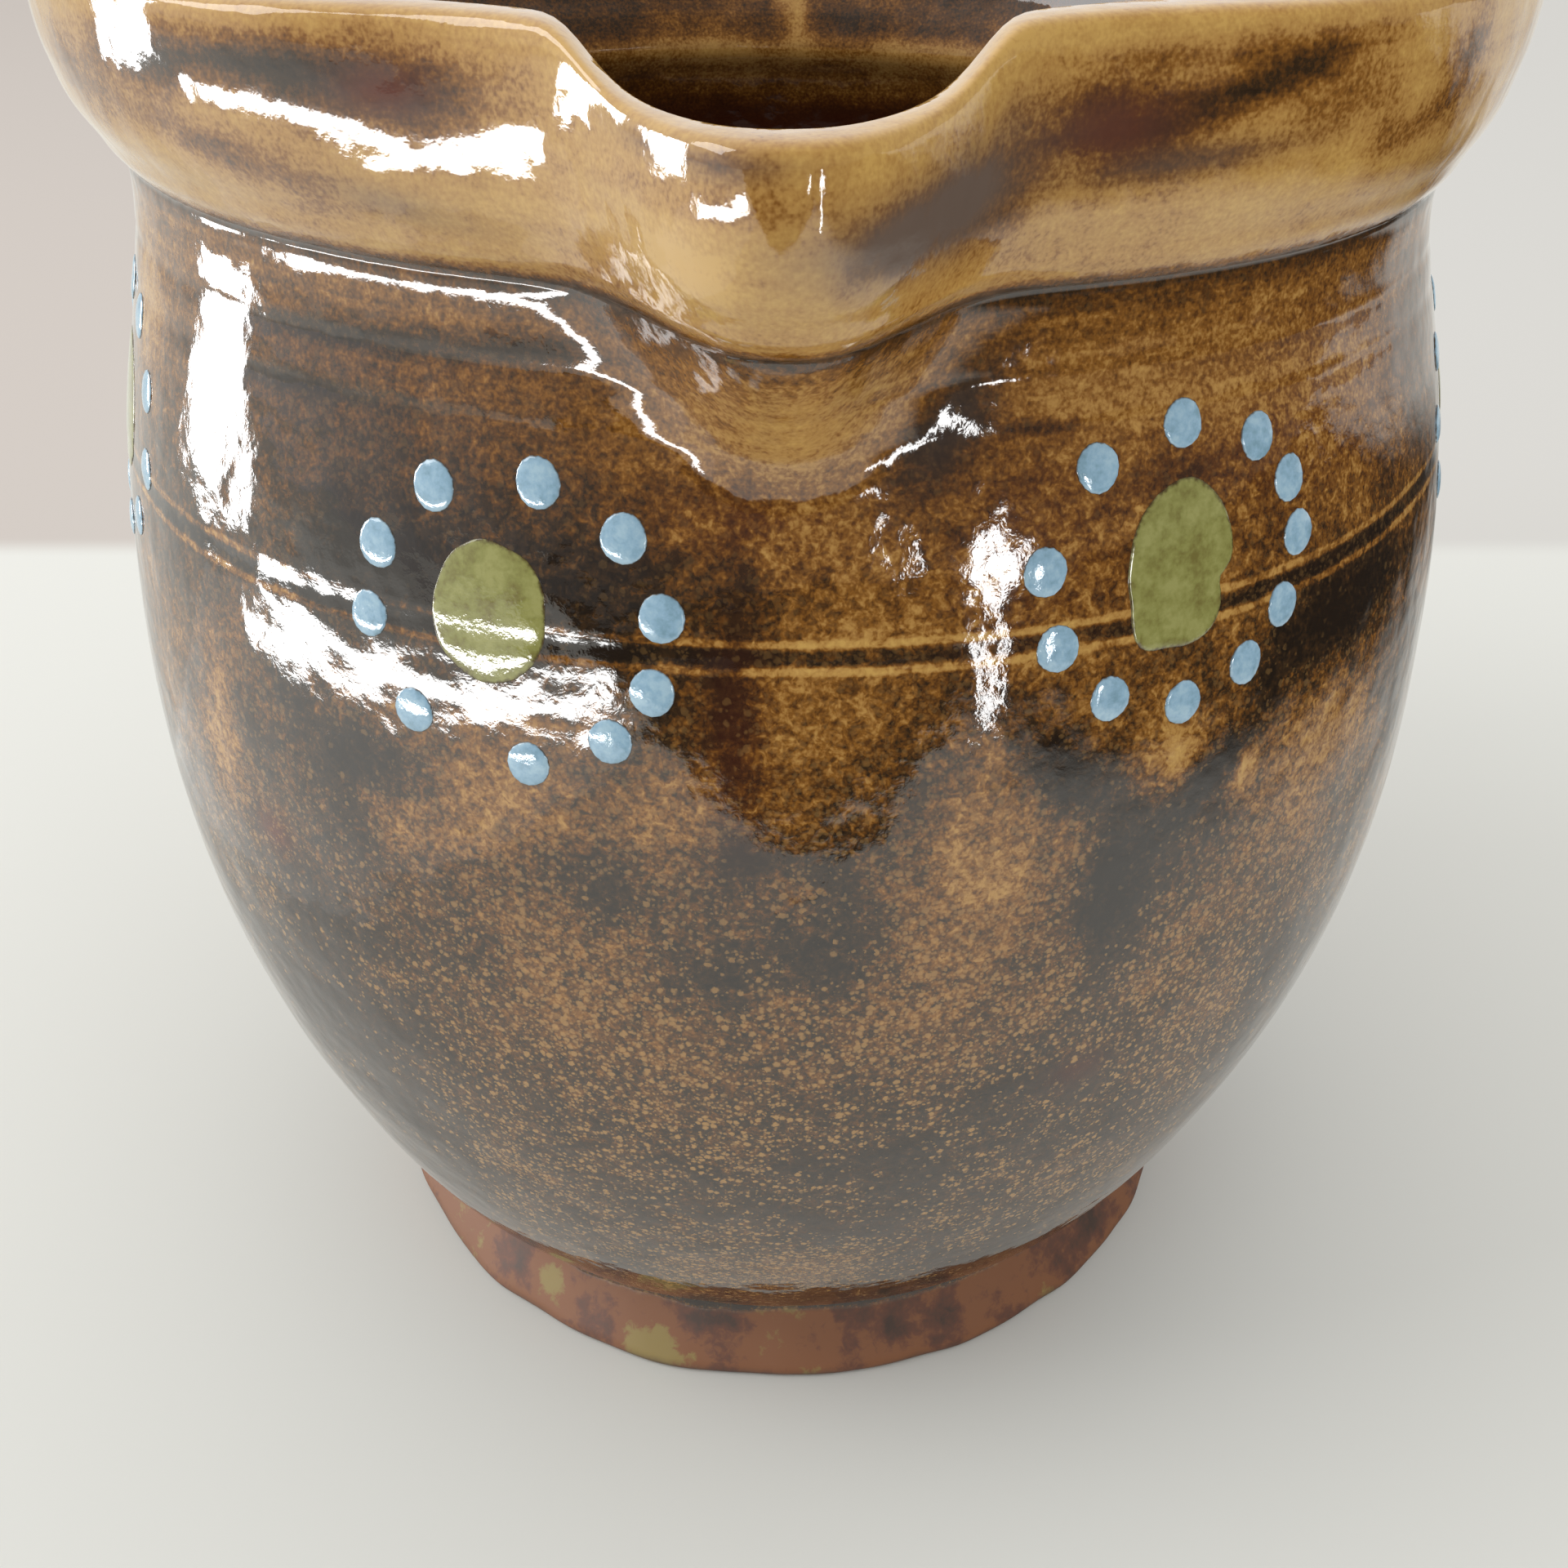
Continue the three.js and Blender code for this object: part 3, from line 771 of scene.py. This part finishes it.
OCHRE_PALE = seen(210, 168, 94)
OCHRE = seen(184, 138, 74)
AMBER = seen(144, 96, 40)
BROWN = seen(100, 64, 28)
DARK_BROWN = seen(62, 44, 26)
BLACK_BROWN = seen(36, 27, 19)
OCHRE_GRAIN = seen(188, 144, 84)
RUST = seen(100, 44, 24)
TERRACOTTA = seen(138, 79, 24)
TERRACOTTA_RED = seen(110, 55, 17)
TERRACOTTA_DARK = seen(74, 43, 19)
FOOT_YELLOW = seen(150, 126, 54)
ASH = seen(112, 95, 84)
GLAZE_IOR = 1.84
GLAZE_ROUGHNESS = 0.06
SLIP_ROUGHNESS = 0.08
FOOT_ROUGHNESS = 0.7

# Sizes of the marks in the slip
PATCH_SIZE = 30
BLOTCH_SIZE = 9
MOTTLE_SIZE = 6
FLECK_SIZE = 1
PEPPER_SIZE = 0.36
SPECK_SIZE = 0.5
COARSE_GRAIN_SIZE = 0.7
FINE_GRAIN_SIZE = 0.42
GRAIN_WANDER = 0.35

# Waves in a millimetre: of the noise that moves the grains, and each way of the brushed streaks
GRAIN_WANDER_SCALE = 2.4
STREAK_SCALE = (0.05, 0.05, 0.9)

# Unevenness of the glaze: the size of its waves and their height
GLAZE_WAVES = [(14, 0.45), (6, 0.2), (2.2, 0.03)]
SLIP_HEIGHT = 0.012

# Grains: how far out the edge lies as a share of the way between them, how soft the edge is, how softly they
# come and go, and how strongly they show
GRAIN_REACH = (0.2, 0.5)
GRAIN_EDGE = (-0.16, 0.12)
GRAIN_CHANCE_BLUR = 0.08
GRAIN_STRENGTH = 0.82
FINE_GRAIN_STRENGTH = 0.8

# The incised band: where its dark groove ends, where the pale lines beside it start and end, and how much
# slip the groove gained and the lines lost
BAND_WANDER = 0.5
GROOVE_END = (0.35, 0.75)
LINE_START = (0.65, 0.9)
LINE_END = (1.2, 1.55)
GROOVE_GAIN = 0.25
LINE_LOSS = 0.26

# The foot: the climb where the glaze starts, the painted contact shadow along its lower edge, and the painted
# shade in the groove under the belly
FOOT_RAGGEDNESS = 2.0
GLAZE_START = (7.6, 8.6)
CONTACT_SHADOW_EDGE = (0.4, 1.6)
FOOT_GROOVE_SHADE_LEVEL = FOOT_HEIGHT - 0.6
FOOT_GROOVE_SHADE_EDGE = (0.3, 1.1)

# Tones from thin to thick slip, and from pale to dark on the foot
SLIP_TONES = [
    (0.05, OCHRE_PALE), (0.3, OCHRE), (0.44, AMBER), (0.58, BROWN), (0.72, DARK_BROWN), (0.92, BLACK_BROWN),
]
FOOT_TONES = [
    (0.16, FOOT_YELLOW), (0.3, TERRACOTTA), (0.52, TERRACOTTA),
    (0.66, TERRACOTTA_RED), (0.9, TERRACOTTA_DARK),
]

# How thickly the slip covers the clay along the climb, from 0, bare ochre, to 1, black, with painted shade at
# the collar crease and deep inside the pot
SLIP_COVER_AND_SHADE = [
    (0, 0.5), (11, 0.74), (60, 0.72), (85, 0.66), (102, 0.62), (110, 0.6), (122, 0.51), (130, 0.5),
    # The peak at 132.2 is painted shade: a dark line in the crease under the collar.
    (131.6, 0.6), (132.2, 0.85), (132.8, 0.6), (133.6, 0.24), (141, 0.2), (146, 0.24), (148.5, 0.16),
    (151.5, 0.16), (153, 0.5), (160, 0.62), (168, 0.58), (169.8, 0.25), (171, 0.25), (172.5, 0.36),
    # From climb 179, deep inside the pot, the cover rises to black: painted shade.
    (176, 0.42), (179, 0.8), (300, 0.9),
]
# How far the dabs show, and how far the slip is mottled, sponged into flecks, spattered in grains, brushed in
# streaks and, all over, peppered
DAB_SHARE = [(0, 0.5), (20, 0.35), (55, 0.45), (85, 0.8), (105, 1), (300, 1)]
MOTTLE_SHARE = [
    (0, 0.5), (20, 0.35), (55, 0.45), (85, 0.8), (105, 1), (114, 0.8), (122, 0.2), (131, 0.2), (134, 0.7),
    (150, 0.7), (300, 1),
]
FLECK_SHARE = [
    (0, 0.3), (12, 0.5), (60, 0.7), (85, 1), (105, 1), (114, 0.9), (122, 0.6), (131, 0.6), (134, 0.3),
    (150, 0.3), (300, 0.3),
]
GRAIN_SHARE = [(0, 0), (11, 1), (60, 1), (80, 0.65), (95, 0.3), (110, 0.12), (131, 0.1), (134, 0), (300, 0)]
STREAK_SHARE = [(0, 0), (105, 0), (118, 0.2), (130, 0.45), (134, 0.3), (150, 0.3), (300, 0.4)]
PEPPER_SHARE = 0.4


def glaze_marks(mix):
    """All that the glaze is worked out from: where it is, its dabs, and noise of several sizes."""
    place = mix.place_in_mm()
    climb = mix.attribute("climb")
    patches = mix.grain(place, PATCH_SIZE, 3)
    mottles = mix.grain(place, MOTTLE_SIZE, 4, 0.6)
    return SimpleNamespace(
        place=place,
        climb=climb,
        slip=mix.attribute("slip"),
        rust=mix.attribute("rust"),
        ash=mix.attribute("ash"),
        mottles=mottles,
        flecks=mix.grain(place, FLECK_SIZE, 3, 0.65, 0.6),
        pepper=mix.grain(place, PEPPER_SIZE, 1),
        streaks=mix.grain(mix.place_in_mm(STREAK_SCALE), 1, 4, 0.6),
        uneven=mix.add(mix.times(patches, 0.8), mix.times(mottles, 0.7)),
        thickness=mix.by_climb(climb, SLIP_COVER_AND_SHADE),
    )


def slip_cover(mix, marks):
    """How thickly the slip covers the clay at each place, with the incised band."""
    climb = marks.climb
    cover = mix.add(
        marks.thickness,
        mix.times(marks.slip, mix.by_climb(climb, DAB_SHARE)),
        mix.times(marks.uneven, mix.by_climb(climb, MOTTLE_SHARE)),
        mix.times(marks.streaks, mix.by_climb(climb, STREAK_SHARE)),
        mix.times(marks.flecks, mix.by_climb(climb, FLECK_SHARE)),
        mix.times(marks.pepper, PEPPER_SHARE),
    )
    wandering_climb = mix.add(climb, mix.times(marks.mottles, BAND_WANDER))
    from_band = mix.math("ABSOLUTE", mix.math("SUBTRACT", wandering_climb, BAND_LEVEL))
    groove = mix.between(from_band, *GROOVE_END, 1.0, 0.0)
    lines = mix.times(mix.between(from_band, *LINE_START), mix.between(from_band, *LINE_END, 1.0, 0.0))
    broken = mix.between(marks.streaks, -0.15, 0.05, 0.5, 1.0)
    return mix.add(cover, mix.times(groove, GROOVE_GAIN), mix.times(mix.times(lines, broken), -LINE_LOSS))


def fired_slip(mix, marks, cover):
    """Ochre to black brown as the slip thickens, with the red and grey marks of the fire."""
    colour = mix.ramp(cover, SLIP_TONES)
    reddened = mix.times(marks.rust, mix.between(cover, 0.35, 0.6))
    colour = mix.blend(reddened, colour, RUST)
    greyed = mix.times(marks.ash, mix.between(marks.mottles, -0.3, 0.1, 0.5, 1.0))
    return mix.blend(greyed, colour, ASH)


def spattered(mix, marks, colour):
    """Grains of ochre over a colour, fewer of them where the slip is thick."""
    share = mix.between(mix.add(marks.thickness, marks.slip, marks.uneven), 0.4, 0.98, 1.0, 0.0)
    wander = mix.node("TexNoise", Vector=marks.place, Scale=GRAIN_WANDER_SCALE, Detail=1.0).outputs["Color"]
    small_wander = mix.node("VectorMath", {"operation": "SCALE"}, Vector=wander, Scale=GRAIN_WANDER)
    uneven_place = mix.node("VectorMath", {"operation": "ADD"})
    mix.feed(uneven_place.inputs[0], marks.place)
    mix.feed(uneven_place.inputs[1], small_wander.outputs[0])
    coarse_grains = mix.grains(uneven_place.outputs[0], COARSE_GRAIN_SIZE, share)
    fine_grains = mix.grains(uneven_place.outputs[0], FINE_GRAIN_SIZE, share)
    grains = mix.math("MAXIMUM", coarse_grains, mix.times(fine_grains, FINE_GRAIN_STRENGTH))
    grains = mix.times(grains, mix.by_climb(marks.climb, GRAIN_SHARE))
    return mix.blend(mix.times(grains, GRAIN_STRENGTH), colour, OCHRE_GRAIN)


def footed(mix, marks, colour):
    """A colour with the terracotta foot under it, and how bare of glaze each place is."""
    blotches = mix.grain(marks.place, BLOTCH_SIZE, 3, 0.6)
    tone = mix.add(
        0.5,
        mix.times(marks.slip, 0.6),
        mix.times(blotches, 1.2),
        mix.times(marks.mottles, 0.9),
        mix.times(marks.flecks, 0.5),
    )
    ragged_climb = mix.add(marks.climb, mix.times(marks.mottles, FOOT_RAGGEDNESS))
    bare = mix.between(ragged_climb, *GLAZE_START, 1.0, 0.0)
    colour = mix.blend(bare, colour, mix.ramp(tone, FOOT_TONES))
    # Painted contact shadow: the foot darkens along its lower edge, next to the table.
    contact_shadow = mix.between(ragged_climb, *CONTACT_SHADOW_EDGE, 0.7, 0.0)
    colour = mix.blend(contact_shadow, colour, TERRACOTTA_DARK)
    # Painted shade: a dark line in the groove under the belly.
    from_groove = mix.math("ABSOLUTE", mix.math("SUBTRACT", ragged_climb, FOOT_GROOVE_SHADE_LEVEL))
    groove = mix.between(from_groove, *FOOT_GROOVE_SHADE_EDGE, 0.75, 0.0)
    return mix.blend(groove, colour, BLACK_BROWN), bare


def make_glaze():
    """Brown slip sponged over ochre clay, under a clear honey glaze."""
    material, mix = new_finish("honey_glaze")
    marks = glaze_marks(mix)
    cover = slip_cover(mix, marks)
    colour = spattered(mix, marks, fired_slip(mix, marks, cover))
    colour, bare = footed(mix, marks, colour)
    roughness = mix.between(bare, 0, 1, GLAZE_ROUGHNESS, FOOT_ROUGHNESS)
    waves = [mix.times(mix.grain(marks.place, size), height) for size, height in GLAZE_WAVES]
    relief = mix.relief(mix.add(*waves, mix.times(cover, SLIP_HEIGHT)))
    shader = mix.node("BsdfPrincipled", Base_Color=colour, Roughness=roughness, Normal=relief)
    shader.inputs["IOR"].default_value = GLAZE_IOR
    mix.surface(shader.outputs["BSDF"])
    return material


def make_slip(name, light, middle, dark, outline, mottle_size):
    """Coloured slip under the glaze, with a dark line where a bead meets the wall."""
    material, mix = new_finish(name)
    place = mix.place_in_mm()
    reach = mix.attribute("reach")
    mottles = mix.grain(place, mottle_size, 4, 0.65)
    specks = mix.grain(place, SPECK_SIZE, 2)
    tone = mix.add(0.5, mix.times(mottles, 1.6), mix.times(specks, 0.5))
    body = mix.ramp(tone, [(0.25, light), (0.5, middle), (0.8, dark)])
    ragged = mix.add(reach, mix.times(specks, 0.12))
    colour = mix.blend(mix.between(ragged, 0.94, 1.02), body, outline)
    height = mix.add(mix.times(mottles, 0.05), mix.times(specks, 0.01))
    shader = mix.node("BsdfPrincipled", Base_Color=colour, Normal=mix.relief(height))
    shader.inputs["Roughness"].default_value = SLIP_ROUGHNESS
    shader.inputs["IOR"].default_value = GLAZE_IOR
    mix.surface(shader.outputs["BSDF"])
    return material


# Stage, light and camera

TABLE_COLOUR = seen(229, 230, 225)
WALL_LEFT = seen(203, 196, 190)
WALL_RIGHT = seen(217, 216, 212)
WALL_SEEN = seen(213, 208, 205)
TABLE_HALF_SIZE = 4000
TABLE_ROUGHNESS = 0.7
WALL_START = 180
WALL_START_BLUR = 6
WALL_TURN = 250
SHADE_START = -240
SHADE_START_BLUR = 20
SHADE_SLOPE = 1.2
SHADE_RIGHT = 230
SHADE_RIGHT_BLUR = 80
SHADE_BACK = 300
SHADE_BACK_BLUR = 100
SHADE = seen(46, 44, 42)

# The room: its directions, the cosines to them between which its tone changes, and its tones
TO_FRONT = (0, -1, 0)
TO_RIGHT = (1, 0, 0)
TO_DARK_CORNER = (0.5, -0.86, 0.1)
FRONT_EDGE = (0.45, 0.95)
RIGHT_EDGE = (0.4, 0.95)
RIGHT_DARKNESS = 0.5
DARK_CORNER_EDGE = (-0.7, 0.8)
ROOM_LIGHT = (1, 0.99, 0.98, 1)
ROOM_FRONT = (0.45, 0.44, 0.43, 1)
ROOM_MIRRORED = (0.95, 0.95, 0.95, 1)
ROOM_DARK = (0.08, 0.078, 0.076, 1)


def make_floor():
    """A pale table top that turns into the tone of the wall behind the pot.

    For glossy rays the table is painted dark, a painted reflection of the dark room in the glaze: a wedge in
    front and all that is far right.
    """
    material, mix = new_finish("pale_table")
    place = mix.node("SeparateXYZ", Vector=mix.place_in_mm()).outputs
    wall = mix.blend(mix.between(place["X"], -WALL_TURN, WALL_TURN), WALL_LEFT, WALL_RIGHT)
    on_wall = mix.past(place["Y"], WALL_START, WALL_START_BLUR)
    shown = mix.blend(on_wall, TABLE_COLOUR, wall)
    aside = mix.math("ABSOLUTE", place["X"])
    from_front = mix.add(place["Y"], mix.times(aside, SHADE_SLOPE))
    wedge = mix.short_of(from_front, SHADE_START, SHADE_START_BLUR)
    right = mix.times(
        mix.past(place["X"], SHADE_RIGHT, SHADE_RIGHT_BLUR),
        mix.short_of(place["Y"], SHADE_BACK, SHADE_BACK_BLUR),
    )
    # Painted dark reflection: seen only by glossy rays, the table turns dark in the wedge and at the right.
    mirrored = mix.blend(mix.math("MAXIMUM", wedge, right), TABLE_COLOUR, SHADE)
    colour = mix.blend(mix.node("LightPath").outputs["Is Glossy Ray"], shown, mirrored)
    shader = mix.node("BsdfPrincipled", Base_Color=colour)
    shader.inputs["Roughness"].default_value = TABLE_ROUGHNESS
    shader.inputs["Specular IOR Level"].default_value = 0
    mix.surface(shader.outputs["BSDF"])
    plane = bmesh.new()
    bmesh.ops.create_grid(plane, x_segments=1, y_segments=1, size=TABLE_HALF_SIZE * MM)
    place_on_stage("table_top", plane, material)


def place_on_stage(name, mesh_in_metres, material):
    mesh = bpy.data.meshes.new(name)
    mesh_in_metres.to_mesh(mesh)
    mesh_in_metres.free()
    mesh.materials.append(material)
    piece = bpy.data.objects.new(name, mesh)
    bpy.context.scene.collection.objects.link(piece)


def make_world():
    """Soft light, weaker from the front. The glaze mirrors a room that is dark in front and at the right."""
    world = bpy.data.worlds.new("room")
    bpy.context.scene.world = world
    world.use_nodes = True
    room = Finish(world.node_tree)
    direction = room.node("TexCoord").outputs["Generated"]

    def towards(target):
        node = room.node("VectorMath", {"operation": "DOT_PRODUCT"})
        room.feed(node.inputs[0], direction)
        node.inputs[1].default_value = Vector(target).normalized()
        return node.outputs["Value"]

    soft = room.blend(room.between(towards(TO_FRONT), *FRONT_EDGE), ROOM_LIGHT, ROOM_FRONT)
    in_corner = room.between(towards(TO_DARK_CORNER), *DARK_CORNER_EDGE)
    at_right = room.between(towards(TO_RIGHT), *RIGHT_EDGE, 0.0, RIGHT_DARKNESS)
    mirrored = room.blend(in_corner, ROOM_MIRRORED, ROOM_DARK)
    mirrored = room.blend(at_right, mirrored, ROOM_DARK)
    path = room.node("LightPath").outputs
    shown = room.blend(path["Is Glossy Ray"], soft, mirrored)
    shown = room.blend(path["Is Camera Ray"], shown, WALL_SEEN)
    background = room.node("Background", Color=shown, Strength=1.0)
    room.tree.links.new(background.outputs[0], room.node("OutputWorld").inputs["Surface"])


# Lamps: name, place, the place it faces, width, height, radiance, and whether it shows in the glaze only
WINDOW_RADIANCE = 12
LAMPS = [
    ("left_key", (-1000, -150, 900), (0, 0, 80), 700, 700, 3, False),
    ("left_window", (-737, 152, 164), (-62, -35, 115), 184, 400, WINDOW_RADIANCE, True),
    ("low_window", (-330, -230, 17), (-28, -64, 103), 460, 41, WINDOW_RADIANCE, True),
    ("left_table", (-330, -160, 3), (-330, -160, 100), 380, 460, 0.22, True),
    ("right_strip", (113, -220, 96), (15, -66, 112), 7, 84, WINDOW_RADIANCE, True),
    ("right_patch", (116, -219, 114), (15, -66, 112), 30, 17, WINDOW_RADIANCE, True),
    ("front_strip", (57, -220, 121), (8, -66, 114), 4, 22, WINDOW_RADIANCE, True),
]

# Camera
CAMERA_PLACE = (0, -171.8, 164)
CAMERA_TILT = 56.427
CAMERA_NEAREST = 10
SENSOR_WIDTH = 36
LENS = 36.06


def add_lamp(name, place, target, width, height, radiance, in_glaze_only):
    """A rectangular lamp. One that shows in the glaze only throws no light on the table."""
    lamp = bpy.data.lights.new(name, "AREA")
    lamp.shape = "RECTANGLE"
    lamp.size = width * MM
    lamp.size_y = height * MM
    lamp.energy = radiance * math.pi * lamp.size * lamp.size_y
    holder = bpy.data.objects.new(name, lamp)
    holder.location = Vector(place) * MM
    holder.rotation_euler = (Vector(target) - Vector(place)).to_track_quat("-Z", "Y").to_euler()
    holder.visible_diffuse = not in_glaze_only
    holder.visible_camera = False
    bpy.context.scene.collection.objects.link(holder)


def add_camera():
    camera = bpy.data.cameras.new("photo_view")
    camera.sensor_width = SENSOR_WIDTH
    camera.lens = LENS
    camera.clip_start = CAMERA_NEAREST * MM
    holder = bpy.data.objects.new("photo_view", camera)
    holder.location = Vector(CAMERA_PLACE) * MM
    holder.rotation_euler = (math.radians(CAMERA_TILT), 0, 0)
    bpy.context.scene.collection.objects.link(holder)
    bpy.context.scene.camera = holder


glaze = make_glaze()
blue_slip = make_slip(
    "blue_slip",
    light=seen(176, 208, 226),
    middle=seen(156, 192, 216),
    dark=seen(134, 170, 190),
    outline=seen(80, 66, 46),
    mottle_size=1.6,
)
green_slip = make_slip(
    "green_slip",
    light=seen(164, 163, 100),
    middle=seen(148, 148, 84),
    dark=seen(124, 116, 62),
    outline=seen(76, 56, 30),
    mottle_size=2.4,
)
make_pot(glaze)
make_handle(glaze)
for rosette in range(1, ROSETTES + 1):
    make_dots(rosette, blue_slip)
    make_spot(rosette, green_slip)
make_floor()
make_world()
for lamp_values in LAMPS:
    add_lamp(*lamp_values)
add_camera()
bpy.context.scene.view_settings.view_transform = "Standard"
